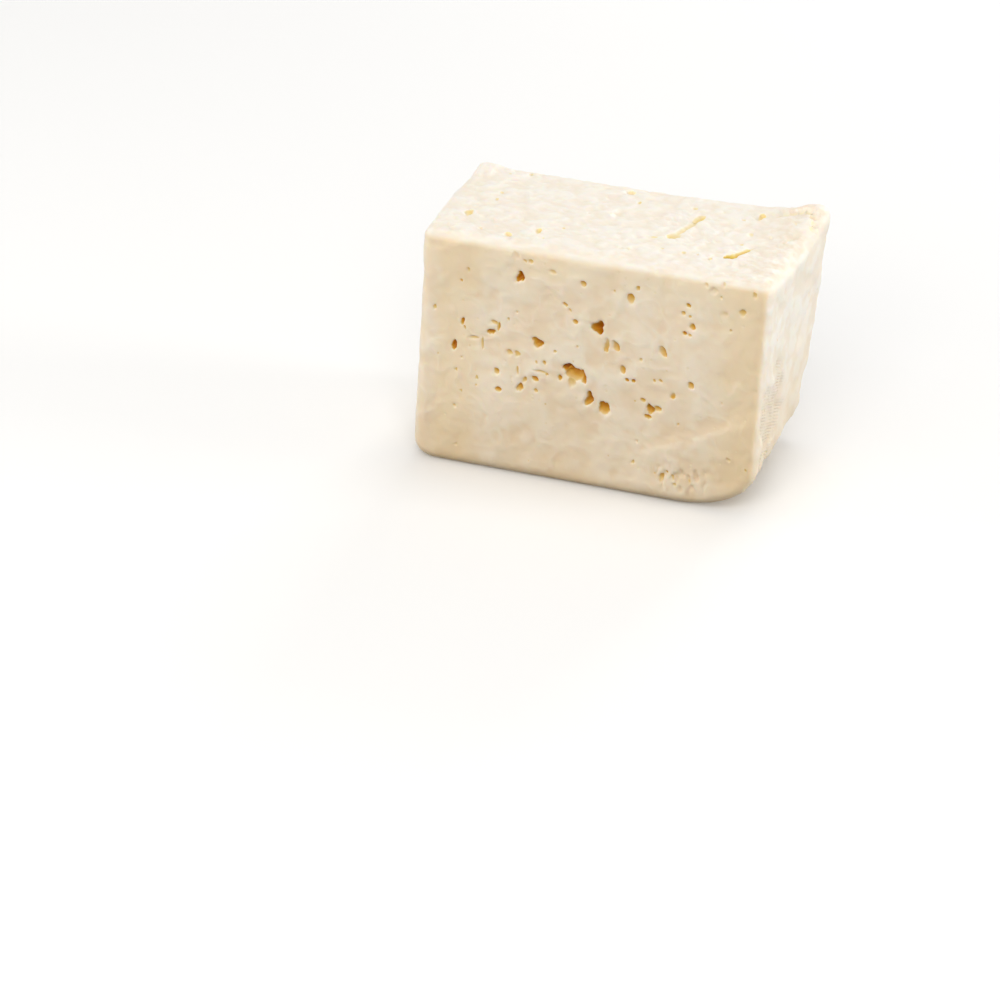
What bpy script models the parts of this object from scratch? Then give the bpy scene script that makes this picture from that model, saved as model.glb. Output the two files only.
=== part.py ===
"""A block of white brined sheep's milk cheese.

The block is one solid. Its front outline has its own easing at each corner, because the curd
sagged into the rounded foot of its mould on the right and was cut off straight on the left.
That outline runs back through the whole depth, its rim is eased, and the block leans a little,
as a hand-cut one does. Then come the slow forms of the skin, and at last the holes and slits
that the curd left where it didn't knit, each cut as a hollow of its own.

Frame: metres, +Z up, the cut front with the many holes faces -Y, and the block rests on Z = 0.
"""

import math
import random
from collections import namedtuple

import bmesh
import bpy
from mathutils import Matrix, Vector, noise
from mathutils.bvhtree import BVHTree

MM = 0.001

# Driving dimensions of the block before it leans.
WIDTH = 113 * MM
DEPTH = 59 * MM
HEIGHT = 79 * MM

# How far each corner of the front outline is eased: along the width, along the height.
TOP_LEFT = (3 * MM, 3 * MM)
TOP_RIGHT = (5 * MM, 4 * MM)
FOOT_LEFT = (7 * MM, 7 * MM)
FOOT_RIGHT = (26 * MM, 15 * MM)
RIM = 3.6 * MM

# How far the block departs from a true one.
FOOT_LEAN = -1.6 * MM
LEFT_BACK_SPREAD = 1.4 * MM
RIGHT_BACK_SPREAD = 2.8 * MM
RIGHT_BACK_DRAFT = 3.0 * MM

# Cells along the width, the depth and the height, and how far they crowd towards the edges.
CELLS = (26, 14, 19)
CROWDING = 0.55

NODE = "cheese_block"


def mix(start, end, share):
    return start + (end - start) * share


def smooth_step(low, high, value):
    share = min(1.0, max(0.0, (value - low) / (high - low)))
    return share * share * (3 - 2 * share)


# The bare form


def grid_box():
    """A cube from -1 to 1 on each axis, with each face cut into a grid."""
    form = bmesh.new()
    bmesh.ops.create_cube(form, size=2)
    for axis, cells in enumerate(CELLS):
        along = [
            edge
            for edge in form.edges
            if abs(edge.verts[0].co[axis] - edge.verts[1].co[axis]) > 1
        ]
        bmesh.ops.subdivide_edges(form, edges=along, cuts=cells - 1, use_grid_fill=True)
    return form


def crowded(share):
    """Moves a grid line towards the edge, where the form turns."""
    return mix(share, math.sin(share * math.pi / 2), CROWDING)


def nearest_corner(x, z):
    """(easing, side, end) of the outline's corner nearest to a point."""
    if x > 0:
        return (TOP_RIGHT, 1, 1) if z > HEIGHT / 2 else (FOOT_RIGHT, 1, -1)
    return (TOP_LEFT, -1, 1) if z > HEIGHT / 2 else (FOOT_LEFT, -1, -1)


def into_outline(x, z):
    """Moves a point of the square outline into the eased one.

    Returns the new x and z, how far inside the outline they lie, and the way out.
    """
    (wide, high), side, end = nearest_corner(x, z)
    past_x = (side * x - WIDTH / 2) / wide + 1
    past_z = (end * (z - HEIGHT / 2) - HEIGHT / 2) / high + 1
    if past_x <= 0 or past_z <= 0:
        from_side = wide * (1 - past_x)
        from_end = high * (1 - past_z)
        if from_side < from_end:
            return x, z, from_side, (side, 0)
        return x, z, from_end, (0, end)
    reach = math.hypot(past_x, past_z)
    eased_share = max(past_x, past_z)
    spare = 1 - eased_share / reach
    x -= side * past_x * spare * wide
    z -= end * past_z * spare * high
    out = Vector((past_x / wide, past_z / high)).normalized()
    inside = (1 - eased_share) * (wide * out.x * out.x + high * out.y * out.y)
    return x, z, inside, (side * out.x, end * out.y)


def eased(point):
    """Rounds the outline, and the rim round the front and the back."""
    x, z, inside, out = into_outline(point.x, point.z)
    side = 1 if point.y > 0 else -1
    behind = DEPTH / 2 - abs(point.y)
    if inside >= RIM or behind >= RIM:
        return Vector((x, point.y, z))
    to_edge = RIM - inside
    to_face = RIM - behind
    spare = 1 - max(to_edge, to_face) / math.hypot(to_edge, to_face)
    pull = to_edge * spare
    return Vector((x - out[0] * pull, point.y - side * to_face * spare, z - out[1] * pull))


def leaned(point):
    """Shifts the foot to the left, spreads the top's back and draws in the right back's foot."""
    up = point.z / HEIGHT
    back = 0.5 + point.y / DEPTH
    side = point.x / (WIDTH / 2)
    spread = RIGHT_BACK_SPREAD if side > 0 else LEFT_BACK_SPREAD
    shift = FOOT_LEAN * (1 - up) + spread * side * back * up * up
    if side > 0:
        shift -= RIGHT_BACK_DRAFT * side * back * smooth_step(0.62, 0.1, up)
    return point + Vector((shift, 0, 0))


def bare_form():
    form = grid_box()
    for vert in form.verts:
        x, y, z = (crowded(share) for share in vert.co)
        square = Vector((x * WIDTH / 2, y * DEPTH / 2, (z + 1) * HEIGHT / 2))
        vert.co = leaned(eased(square))
    form.normal_update()
    return form


# The slow forms of the skin

SWELL_HEIGHT = 0.7 * MM
SWELL_LENGTH = 34 * MM

# The top climbs towards its right back corner, and ends in a rounded ear there. The left back
# corner has a smaller ear.
CORNER = Vector((57, 28)) * MM
CLIMB_REACH = 34 * MM
CLIMB_HEIGHT = 3.0 * MM
EAR_RADIUS = 9 * MM
EAR_HEIGHT = 1.3 * MM
BACK_EDGE_RISE = 0.8 * MM
BACK_EDGE_RISE_FROM = -5 * MM
LEFT_EAR_AT = Vector((-55, 27)) * MM
LEFT_EAR_RADIUS = 9 * MM
LEFT_EAR_HEIGHT = 0.8 * MM

# The front's right foot stands proud below a line that climbs to the right.
STEP_HEIGHT = 0.6 * MM
STEP_LEFT = Vector((22, 19)) * MM
STEP_RIGHT = Vector((54, 34)) * MM
STEP_SOFTNESS = 2.5 * MM

# The mould's cloth pressed a long hollow into the right face.
CLOTH_AT = Vector((-12, 30)) * MM
CLOTH_SIZE = Vector((15, 20)) * MM
CLOTH_DEPTH = 0.7 * MM

# The top's right rim hangs over a shallow fold of the right face.
FOLD_TOP = Vector((19, 58)) * MM
FOLD_FOOT = Vector((9, 44)) * MM
FOLD_WIDTH = 4 * MM
FOLD_DEPTH = 0.8 * MM


def swell(point):
    return SWELL_HEIGHT * noise.noise(point / SWELL_LENGTH)


def climb(point):
    """How far the top rises towards its right back corner, with the ears."""
    away = (point.xy - CORNER).length
    corner = CLIMB_HEIGHT * (1 - min(1.0, away / CLIMB_REACH)) ** 2
    ear = EAR_HEIGHT * (1 - smooth_step(0.55, 1, away / EAR_RADIUS))
    from_left = (point.xy - LEFT_EAR_AT).length / LEFT_EAR_RADIUS
    ear += LEFT_EAR_HEIGHT * (1 - smooth_step(0.3, 1, from_left))
    right = smooth_step(BACK_EDGE_RISE_FROM, WIDTH / 4, point.x)
    back = smooth_step(-0.1, 0.5, point.y / DEPTH)
    return corner + ear + BACK_EDGE_RISE * right * back


def step(point):
    """How far the front stands proud below the step line."""
    share = (point.x - STEP_LEFT.x) / (STEP_RIGHT.x - STEP_LEFT.x)
    line = mix(STEP_LEFT.y, STEP_RIGHT.y, share)
    return STEP_HEIGHT * smooth_step(-0.3, 0.1, share) * smooth_step(
        line + STEP_SOFTNESS, line - STEP_SOFTNESS, point.z
    )


def cloth_hollow(point):
    across = (point.y - CLOTH_AT.x) / CLOTH_SIZE.x
    up = (point.z - CLOTH_AT.y) / CLOTH_SIZE.y
    return CLOTH_DEPTH * (1 - smooth_step(0.35, 1, math.hypot(across, up)))


def away_from_line(place, start, end):
    """Distance of a flat place from the stretch between two others."""
    along = end - start
    share = min(1.0, max(0.0, (place - start).dot(along) / along.length_squared))
    return (place - start - along * share).length


def fold(point):
    away = away_from_line(Vector((point.y, point.z)), FOLD_TOP, FOLD_FOOT)
    return FOLD_DEPTH * (1 - smooth_step(0, FOLD_WIDTH, away))


def shape_skin(form):
    facings = [vert.normal.copy() for vert in form.verts]
    for vert, facing in zip(form.verts, facings):
        point = vert.co.copy()
        off_foot = smooth_step(-0.98, -0.7, facing.z)
        off_foot *= smooth_step(0, 4 * MM, point.z)
        out = swell(point)
        out += step(point) * max(0.0, -facing.y)
        out -= (cloth_hollow(point) + fold(point)) * max(0.0, facing.x)
        vert.co += facing * out * off_foot
        vert.co.z += climb(point) * smooth_step(0.6, 1, point.z / HEIGHT)
    form.normal_update()


def stand_on_origin(form):
    """Centres the block over the origin, with its foot on Z = 0."""
    low = Vector(min(vert.co[axis] for vert in form.verts) for axis in range(3))
    high = Vector(max(vert.co[axis] for vert in form.verts) for axis in range(3))
    middle = (low + high) / 2
    middle.z = low.z
    bmesh.ops.translate(form, verts=form.verts, vec=-middle)


# The holes

# The way out of each face, and the two directions that a hole is placed by.
Face = namedtuple("Face", "out across up")
FACES = {
    "front": Face(Vector((0, -1, 0)), Vector((1, 0, 0)), Vector((0, 0, 1))),
    "back": Face(Vector((0, 1, 0)), Vector((-1, 0, 0)), Vector((0, 0, 1))),
    "right": Face(Vector((1, 0, 0)), Vector((0, 1, 0)), Vector((0, 0, 1))),
    "left": Face(Vector((-1, 0, 0)), Vector((0, -1, 0)), Vector((0, 0, 1))),
    "top": Face(Vector((0, 0, 1)), Vector((1, 0, 0)), Vector((0, 1, 0))),
}

# A hole's middle on its face and its size, in mm, and its tilt in degrees, anticlockwise.
Hole = namedtuple("Hole", "across up wide high tilt")

FRONT_HOLES = (
    # The largest, where several hollows run together.
    Hole(-7.4, 40.2, 3.6, 2.9, 20),
    Hole(-5.1, 38.6, 5.6, 4.2, -20),
    Hole(-2.8, 38.0, 2.0, 4.8, 8),
    Hole(-6.1, 35.2, 2.6, 4.2, -20),
    # The deep ones round it.
    Hole(1.3, 56.1, 4.6, 3.9, 60),
    Hole(-0.6, 30.9, 2.7, 4.8, -16),
    Hole(4.5, 28.4, 3.7, 4.8, 0),
    Hole(-18.1, 46.9, 3.6, 3.2, 10),
    Hole(4.4, 50.1, 1.8, 4.9, -6),
    Hole(7.6, 50.3, 2.2, 3.6, 18),
    Hole(9.9, 42.9, 1.8, 2.9, 15),
    Hole(19.4, 31.0, 2.3, 3.6, 5),
    Hole(21.9, 31.6, 2.4, 1.9, 0),
    Hole(22.4, 51.5, 2.1, 4.3, 32),
    Hole(32.2, 41.8, 2.1, 2.6, 0),
    # Small ones up in the middle.
    Hole(-24.3, 68.4, 2.2, 3.5, -16),
    Hole(-3.8, 69.7, 1.7, 2.1, 25),
    Hole(-9.4, 61.5, 1.9, 1.5, -30),
    Hole(-5.9, 56.4, 1.9, 1.5, -25),
    Hole(11.6, 67.0, 2.4, 3.5, 5),
    Hole(13.7, 71.0, 1.6, 2.0, -25),
    Hole(29.6, 58.8, 2.4, 1.5, -20),
    Hole(31.6, 61.4, 1.9, 2.3, 15),
    Hole(28.5, 65.3, 1.6, 1.6, 0),
    Hole(47.1, 68.6, 2.4, 2.5, 0),
    # The left.
    Hole(-45.3, 41.4, 1.8, 3.4, -6),
    Hole(-42.8, 49.8, 1.3, 2.6, -12),
    Hole(-33.3, 47.8, 3.0, 1.8, 22),
    Hole(-32.4, 51.2, 2.4, 1.6, -10),
    Hole(-27.0, 42.1, 2.3, 2.0, 0),
    Hole(-24.6, 42.0, 2.2, 2.1, 10),
    # Down by the foot.
    Hole(-18.2, 34.6, 2.3, 1.8, -10),
    Hole(-23.2, 30.8, 2.0, 3.2, -30),
    Hole(-31.0, 35.0, 1.8, 2.3, 20),
    Hole(-30.2, 29.0, 2.2, 1.6, -15),
    Hole(26.6, 37.1, 1.7, 2.4, -12),
    Hole(24.1, 8.0, 1.7, 3.4, -8),
)

TOP_HOLES = (
    # Two slits, each with a pit at its end.
    Hole(17.0, -4.4, 3.0, 4.2, -30),
    Hole(18.9, 3.6, 1.6, 15.0, -12),
    Hole(20.6, 11.6, 2.2, 5.6, -14),
    Hole(37.4, -12.4, 2.8, 3.2, -25),
    Hole(39.6, -8.6, 1.2, 8.6, -28),
    # Single pits.
    Hole(-47.8, -12.3, 2.4, 3.8, 0),
    Hole(-30.8, -23.4, 2.4, 2.4, 0),
    Hole(-22.9, -17.2, 2.4, 3.6, 10),
    Hole(-6.0, 23.5, 3.2, 3.2, 20),
    Hole(38.4, 18.6, 2.4, 3.8, 0),
)

# The groove that curls inside the ear: its middle and radius on the top, in mm, and its ends,
# in degrees.
GROOVE_AT = (49.4, 16.6)
GROOVE_RADIUS = 7.2
GROOVE_ENDS = (-5, 150)
GROOVE_HOLES = 6
GROOVE_WIDTH = 1.6
GROOVE_LENGTH = 4.0

# How many small holes are scattered over each face, and how large they may be, in mm.
SCATTER = {"front": 12, "back": 18, "right": 4, "left": 7, "top": 3}
SCATTER_SIZE = (1.4, 3.2)
SCATTER_MARGIN = 7.0
SEED = 11

# A hollow's depth as a share of its width, how uneven it is, how far its ball is sunk below the
# skin as a share of that depth, and the size over which it is made of finer facets.
HOLE_DEPTH = 0.62
HOLE_ROUGHNESS = 0.22
HOLE_SUNK = 0.18
FINE_OVER = 2.6 * MM
LUMP_LENGTH = 0.77


def spot_on(face, skin, across, up):
    """(place, way out) where a face's own across and up, in mm, meet the skin."""
    start = face.out * WIDTH * 2 + face.across * across * MM + face.up * up * MM
    place, facing, _, _ = skin.ray_cast(start, -face.out)
    return place, facing


def hollow_form(hole, number):
    """An uneven ball that is as wide and high as the hole, and about as deep."""
    wide = hole.wide * MM / 2
    high = hole.high * MM / 2
    deep = min(max(wide, high), min(wide, high) * 2) * 2 * HOLE_DEPTH
    ball = bmesh.new()
    fineness = 2 if wide + high > FINE_OVER else 1
    bmesh.ops.create_icosphere(ball, subdivisions=fineness, radius=1)
    apart = Vector((number * 3.7, number * 1.9, 0))
    for vert in ball.verts:
        vert.co *= 1 + HOLE_ROUGHNESS * noise.noise(vert.co / LUMP_LENGTH + apart)
    bmesh.ops.scale(ball, verts=ball.verts, vec=(wide, high, deep))
    bmesh.ops.translate(ball, verts=ball.verts, vec=(0, 0, -deep * HOLE_SUNK))
    return ball


def cutter(face, skin, hole, number):
    place, facing = spot_on(face, skin, hole.across, hole.up)
    across = (face.across - facing * face.across.dot(facing)).normalized()
    up = facing.cross(across)
    turn = Matrix((across, up, facing)).transposed().to_4x4()
    tilt = Matrix.Rotation(math.radians(hole.tilt), 4, "Z")
    ball = hollow_form(hole, number)
    ball.transform(Matrix.Translation(place) @ turn @ tilt)
    return as_object(ball, f"hollow_{number}")


def groove_holes():
    start, end = GROOVE_ENDS
    for number in range(GROOVE_HOLES):
        angle = mix(start, end, number / (GROOVE_HOLES - 1))
        across = GROOVE_AT[0] + GROOVE_RADIUS * math.cos(math.radians(angle))
        up = GROOVE_AT[1] + GROOVE_RADIUS * math.sin(math.radians(angle))
        yield Hole(across, up, GROOVE_WIDTH, GROOVE_LENGTH, angle)


def clear_of(placed, hole):
    return all(
        math.hypot(hole.across - other.across, hole.up - other.up)
        > (max(hole.wide, hole.high) + max(other.wide, other.high)) * 0.7
        for other in placed
    )


def scattered(name, count, taken, dice):
    """The holes already named on a face, and small ones set at random clear of them."""
    length = DEPTH if name in ("left", "right") else WIDTH
    half_across = length / 2 / MM - SCATTER_MARGIN
    low, high = SCATTER_MARGIN, HEIGHT / MM - SCATTER_MARGIN
    if name == "top":
        low, high = SCATTER_MARGIN - DEPTH / 2 / MM, DEPTH / 2 / MM - SCATTER_MARGIN
    placed = list(taken)
    while len(placed) < len(taken) + count:
        wide = dice.uniform(*SCATTER_SIZE)
        hole = Hole(
            dice.uniform(-half_across, half_across),
            dice.uniform(low, high),
            wide,
            wide * dice.uniform(0.8, 1.6),
            dice.uniform(-60, 60),
        )
        if clear_of(placed, hole):
            placed.append(hole)
    return placed


def all_holes():
    """(face, hole) for every hole of the block."""
    dice = random.Random(SEED)
    named = {"front": FRONT_HOLES, "top": TOP_HOLES + tuple(groove_holes())}
    for name, count in SCATTER.items():
        for hole in scattered(name, count, named.get(name, ()), dice):
            yield FACES[name], hole


def cut_holes(block, skin):
    cutters = bpy.data.collections.new("hollows")
    bpy.context.scene.collection.children.link(cutters)
    for number, (face, hole) in enumerate(all_holes()):
        ball = cutter(face, skin, hole, number)
        ball.hide_render = True
        ball.display_type = "WIRE"
        cutters.objects.link(ball)
    cut = block.modifiers.new("hollows", "BOOLEAN")
    cut.operation = "DIFFERENCE"
    cut.operand_type = "COLLECTION"
    cut.collection = cutters
    cut.solver = "EXACT"


# The object


def as_object(form, name):
    mesh = bpy.data.meshes.new(name)
    form.to_mesh(mesh)
    form.free()
    return bpy.data.objects.new(name, mesh)


def curd_material():
    material = bpy.data.materials.new("ivory_curd")
    material.use_nodes = True
    shader = material.node_tree.nodes["Principled BSDF"]
    shader.inputs["Base Color"].default_value = (0.88, 0.80, 0.63, 1)
    shader.inputs["Roughness"].default_value = 0.5
    return material


def clear_scene():
    for old in list(bpy.data.objects):
        bpy.data.objects.remove(old, do_unlink=True)


def main():
    clear_scene()
    form = bare_form()
    shape_skin(form)
    stand_on_origin(form)
    skin = BVHTree.FromBMesh(form)
    block = as_object(form, NODE)
    block.data.materials.append(curd_material())
    bpy.context.scene.collection.objects.link(block)
    cut_holes(block, skin)


main()
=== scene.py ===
# %% [markdown]
# # A block of white sheep cheese
#
# The object is one thick block of brined cheese. Four things make it look real: a form that
# sagged in its mould, holes where the curd didn't knit, a flaky dry top, and light that goes a
# little way into the curd and comes back warmer. Each gets its own cells below.

# %% Tools and the frame
import math
import random
from collections import namedtuple

import bmesh
import bpy
from mathutils import Matrix, Vector, noise
from mathutils.bvhtree import BVHTree
from mathutils.kdtree import KDTree


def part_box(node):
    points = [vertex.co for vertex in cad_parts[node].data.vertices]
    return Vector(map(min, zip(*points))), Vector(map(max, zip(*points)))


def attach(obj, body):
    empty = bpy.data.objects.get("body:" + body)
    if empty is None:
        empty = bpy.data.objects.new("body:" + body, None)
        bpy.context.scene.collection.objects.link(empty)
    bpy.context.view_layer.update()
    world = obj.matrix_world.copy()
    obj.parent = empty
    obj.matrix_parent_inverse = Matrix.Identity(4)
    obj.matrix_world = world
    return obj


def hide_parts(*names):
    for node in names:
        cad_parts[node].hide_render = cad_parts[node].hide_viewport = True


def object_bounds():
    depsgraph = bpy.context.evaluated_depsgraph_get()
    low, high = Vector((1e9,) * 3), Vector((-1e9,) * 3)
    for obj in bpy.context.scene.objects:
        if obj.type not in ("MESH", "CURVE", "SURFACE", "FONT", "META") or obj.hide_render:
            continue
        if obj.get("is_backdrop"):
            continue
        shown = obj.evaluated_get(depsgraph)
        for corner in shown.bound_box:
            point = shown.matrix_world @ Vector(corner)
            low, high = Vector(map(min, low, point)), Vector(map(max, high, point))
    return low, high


MM = 0.001
NODE = "cheese_block"

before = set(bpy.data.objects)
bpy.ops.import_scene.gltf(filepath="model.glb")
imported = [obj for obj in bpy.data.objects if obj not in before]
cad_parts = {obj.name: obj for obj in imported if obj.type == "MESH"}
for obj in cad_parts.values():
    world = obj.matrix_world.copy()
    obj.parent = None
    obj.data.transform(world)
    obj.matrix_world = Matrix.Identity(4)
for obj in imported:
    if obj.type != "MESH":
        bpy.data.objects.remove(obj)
cad_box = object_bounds()
node_low, node_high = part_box(NODE)
print("the CAD block is", [round(side / MM, 1) for side in node_high - node_low], "mm")

# %% [markdown]
# ## The bare form
#
# A block like this could be a cube with a Bevel modifier, but each of its edges is eased
# differently. So a cube is cut into a grid, and every point of the grid is moved by one rule:
# first into an outline with its own easing at each corner, then round the rim, then by the lean.
# The values are those of the CAD solid, and only the grid is finer here.

# %% The block's own sizes
WIDTH = 113 * MM
DEPTH = 59 * MM
HEIGHT = 79 * MM

TOP_LEFT = (3 * MM, 3 * MM)
TOP_RIGHT = (5 * MM, 4 * MM)
FOOT_LEFT = (7 * MM, 7 * MM)
FOOT_RIGHT = (26 * MM, 15 * MM)
RIM = 3.6 * MM

FOOT_LEAN = -1.6 * MM
LEFT_BACK_SPREAD = 1.4 * MM
RIGHT_BACK_SPREAD = 2.8 * MM
RIGHT_BACK_DRAFT = 3.0 * MM
# The draft is whole under the lower of these shares of the height, and ends at the upper one.
DRAFT_ENDS = (0.62, 0.1)

CELLS = (92, 50, 66)
CROWDING = 0.25


def mix(start, end, share):
    return start + (end - start) * share


def smooth_step(low, high, value):
    share = min(1.0, max(0.0, (value - low) / (high - low)))
    return share * share * (3 - 2 * share)


# %% A cube cut into a grid
def grid_box():
    form = bmesh.new()
    bmesh.ops.create_cube(form, size=2)
    for axis, cells in enumerate(CELLS):
        along = [
            edge
            for edge in form.edges
            if abs(edge.verts[0].co[axis] - edge.verts[1].co[axis]) > 1
        ]
        bmesh.ops.subdivide_edges(form, edges=along, cuts=cells - 1, use_grid_fill=True)
    return form


# %% Easing the outline and the rim
def nearest_corner(x, z):
    """(easing, side, end) of the outline's corner nearest to a point."""
    if x > 0:
        return (TOP_RIGHT, 1, 1) if z > HEIGHT / 2 else (FOOT_RIGHT, 1, -1)
    return (TOP_LEFT, -1, 1) if z > HEIGHT / 2 else (FOOT_LEFT, -1, -1)


def into_outline(x, z):
    """(x, z, how far inside, the way out) of a point once the outline's corners are eased."""
    (wide, high), side, end = nearest_corner(x, z)
    past_x = (side * x - WIDTH / 2) / wide + 1
    past_z = (end * (z - HEIGHT / 2) - HEIGHT / 2) / high + 1
    if past_x <= 0 or past_z <= 0:
        from_side = wide * (1 - past_x)
        from_end = high * (1 - past_z)
        if from_side < from_end:
            return x, z, from_side, (side, 0)
        return x, z, from_end, (0, end)
    reach = math.hypot(past_x, past_z)
    eased_share = max(past_x, past_z)
    spare = 1 - eased_share / reach
    x -= side * past_x * spare * wide
    z -= end * past_z * spare * high
    out = Vector((past_x / wide, past_z / high)).normalized()
    inside = (1 - eased_share) * (wide * out.x * out.x + high * out.y * out.y)
    return x, z, inside, (side * out.x, end * out.y)


def eased(point):
    x, z, inside, out = into_outline(point.x, point.z)
    side = 1 if point.y > 0 else -1
    behind = DEPTH / 2 - abs(point.y)
    if inside >= RIM or behind >= RIM:
        return Vector((x, point.y, z))
    to_edge = RIM - inside
    to_face = RIM - behind
    spare = 1 - max(to_edge, to_face) / math.hypot(to_edge, to_face)
    pull = to_edge * spare
    return Vector((x - out[0] * pull, point.y - side * to_face * spare, z - out[1] * pull))


# %% The lean, and the finished bare form
def leaned(point):
    up = point.z / HEIGHT
    back = 0.5 + point.y / DEPTH
    side = point.x / (WIDTH / 2)
    spread = RIGHT_BACK_SPREAD if side > 0 else LEFT_BACK_SPREAD
    shift = FOOT_LEAN * (1 - up) + spread * side * back * up * up
    if side > 0:
        shift -= RIGHT_BACK_DRAFT * side * back * smooth_step(*DRAFT_ENDS, up)
    return point + Vector((shift, 0, 0))


def bare_form():
    form = grid_box()
    for vert in form.verts:
        x, y, z = (mix(share, math.sin(share * math.pi / 2), CROWDING) for share in vert.co)
        square = Vector((x * WIDTH / 2, y * DEPTH / 2, (z + 1) * HEIGHT / 2))
        vert.co = leaned(eased(square))
    form.normal_update()
    return form


form = bare_form()
print("the bare form has", len(form.faces), "faces")

# %% [markdown]
# ## The slow forms of the skin
#
# Soft cheese is nowhere flat. The top climbs to its right back corner and ends in a rounded ear,
# the front's foot stands a little proud, and the mould's cloth pressed a long hollow into the
# right face. Each of these is a small function of place that answers how far the skin stands out,
# which keeps them independent: one can be changed without touching the others.

# %% The corner that climbs
CORNER = Vector((57, 28)) * MM
CLIMB_REACH = 34 * MM
CLIMB_HEIGHT = 3.0 * MM
EAR_RADIUS = 9 * MM
EAR_HEIGHT = 1.3 * MM
EAR_LEVEL_SHARE = 0.55
BACK_EDGE_RISE = 0.8 * MM
BACK_EDGE_RISE_FROM = -5 * MM
BACK_EDGE_SHARES = (-0.1, 0.5)
LEFT_EAR_AT = Vector((-55, 27)) * MM
LEFT_EAR_RADIUS = 9 * MM
LEFT_EAR_HEIGHT = 0.8 * MM
LEFT_EAR_LEVEL_SHARE = 0.3


def climb(point):
    away = (point.xy - CORNER).length
    corner = CLIMB_HEIGHT * (1 - min(1.0, away / CLIMB_REACH)) ** 2
    ear = EAR_HEIGHT * (1 - smooth_step(EAR_LEVEL_SHARE, 1, away / EAR_RADIUS))
    from_left = (point.xy - LEFT_EAR_AT).length / LEFT_EAR_RADIUS
    ear += LEFT_EAR_HEIGHT * (1 - smooth_step(LEFT_EAR_LEVEL_SHARE, 1, from_left))
    right = smooth_step(BACK_EDGE_RISE_FROM, WIDTH / 4, point.x)
    back = smooth_step(*BACK_EDGE_SHARES, point.y / DEPTH)
    return corner + ear + BACK_EDGE_RISE * right * back


# %% Swells, the step at the foot, the cloth's hollow and the fold
SWELL_HEIGHT = 0.7 * MM
SWELL_LENGTH = 34 * MM

STEP_HEIGHT = 0.6 * MM
STEP_LEFT = Vector((22, 19)) * MM
STEP_RIGHT = Vector((54, 34)) * MM
STEP_SOFTNESS = 2.5 * MM
STEP_STARTS = (-0.3, 0.1)
STEP_SHADE_EDGE = 0.5 * MM
STEP_SHADE_HEIGHT = 9 * MM

CLOTH_AT = Vector((-15, 28)) * MM
CLOTH_SIZE = Vector((13, 20)) * MM
CLOTH_SLANT = 0.1
CLOTH_DEPTH = 0.8 * MM
CLOTH_WHOLE_SHARE = 0.6
CLOTH_RAGGED = 0.55
CLOTH_RAG_LENGTH = 7 * MM

FOLD_TOP = Vector((19, 58)) * MM
FOLD_FOOT = Vector((9, 44)) * MM
FOLD_WIDTH = 4 * MM
FOLD_DEPTH = 0.8 * MM


def swell(point):
    return SWELL_HEIGHT * noise.noise(point / SWELL_LENGTH)


def over_step(point):
    """How far a point is over the step's line, and how much of the step there is at its place."""
    share = (point.x - STEP_LEFT.x) / (STEP_RIGHT.x - STEP_LEFT.x)
    return point.z - mix(STEP_LEFT.y, STEP_RIGHT.y, share), smooth_step(*STEP_STARTS, share)


def step(point):
    over, there = over_step(point)
    return STEP_HEIGHT * there * smooth_step(STEP_SOFTNESS, -STEP_SOFTNESS, over)


def step_painted_shade(point):
    """1 right over the step, where the front gets painted shade and is browner, fading out above it.
    """
    over, there = over_step(point)
    past_line = smooth_step(-STEP_SHADE_EDGE, STEP_SHADE_EDGE, over)
    return there * past_line * smooth_step(STEP_SHADE_HEIGHT, 0, over)


def cloth_print(point):
    """1 where the mould's cloth lay against the right face, 0 beside it, with a ragged edge."""
    up = point.z - CLOTH_AT.y
    across = point.y - CLOTH_AT.x - CLOTH_SLANT * up
    away = math.hypot(across / CLOTH_SIZE.x, up / CLOTH_SIZE.y)
    away += CLOTH_RAGGED * noise.noise(point / CLOTH_RAG_LENGTH)
    return 1 - smooth_step(CLOTH_WHOLE_SHARE, 1, away)


def away_from_line(place, start, end):
    """Distance of a flat place from the stretch between two others."""
    along = end - start
    share = min(1.0, max(0.0, (place - start).dot(along) / along.length_squared))
    return (place - start - along * share).length


def fold(point):
    away = away_from_line(Vector((point.y, point.z)), FOLD_TOP, FOLD_FOOT)
    return FOLD_DEPTH * (1 - smooth_step(0, FOLD_WIDTH, away))


# %% Shaping the skin and setting it into the CAD block's place
# The underside stays flat, and what moves the skin fades out over the lowest few millimetres.
UNDERSIDE_FACING = (-0.98, -0.7)
FLAT_FOOT = 4 * MM
CLIMB_FROM = 0.6


def shape_skin(form):
    facings = [vert.normal.copy() for vert in form.verts]
    for vert, facing in zip(form.verts, facings):
        point = vert.co.copy()
        off_foot = smooth_step(*UNDERSIDE_FACING, facing.z) * smooth_step(0, FLAT_FOOT, point.z)
        out = swell(point)
        out += step(point) * max(0.0, -facing.y)
        out -= (CLOTH_DEPTH * cloth_print(point) + fold(point)) * max(0.0, facing.x)
        vert.co += facing * out * off_foot
        vert.co.z += climb(point) * smooth_step(CLIMB_FROM, 1, point.z / HEIGHT)
    form.normal_update()


def set_into_box(form, low, high):
    """Moves the form so that its box has the same middle and foot as the CAD block's."""
    mine_low = Vector(min(vert.co[axis] for vert in form.verts) for axis in range(3))
    mine_high = Vector(max(vert.co[axis] for vert in form.verts) for axis in range(3))
    shift = (low + high - mine_low - mine_high) / 2
    shift.z = low.z - mine_low.z
    bmesh.ops.translate(form, verts=form.verts, vec=shift)
    return mine_high - mine_low


shape_skin(form)
form_size = set_into_box(form, node_low, node_high)
skin = BVHTree.FromBMesh(form)
print("the shaped form is", [round(side / MM, 1) for side in form_size], "mm")

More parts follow.
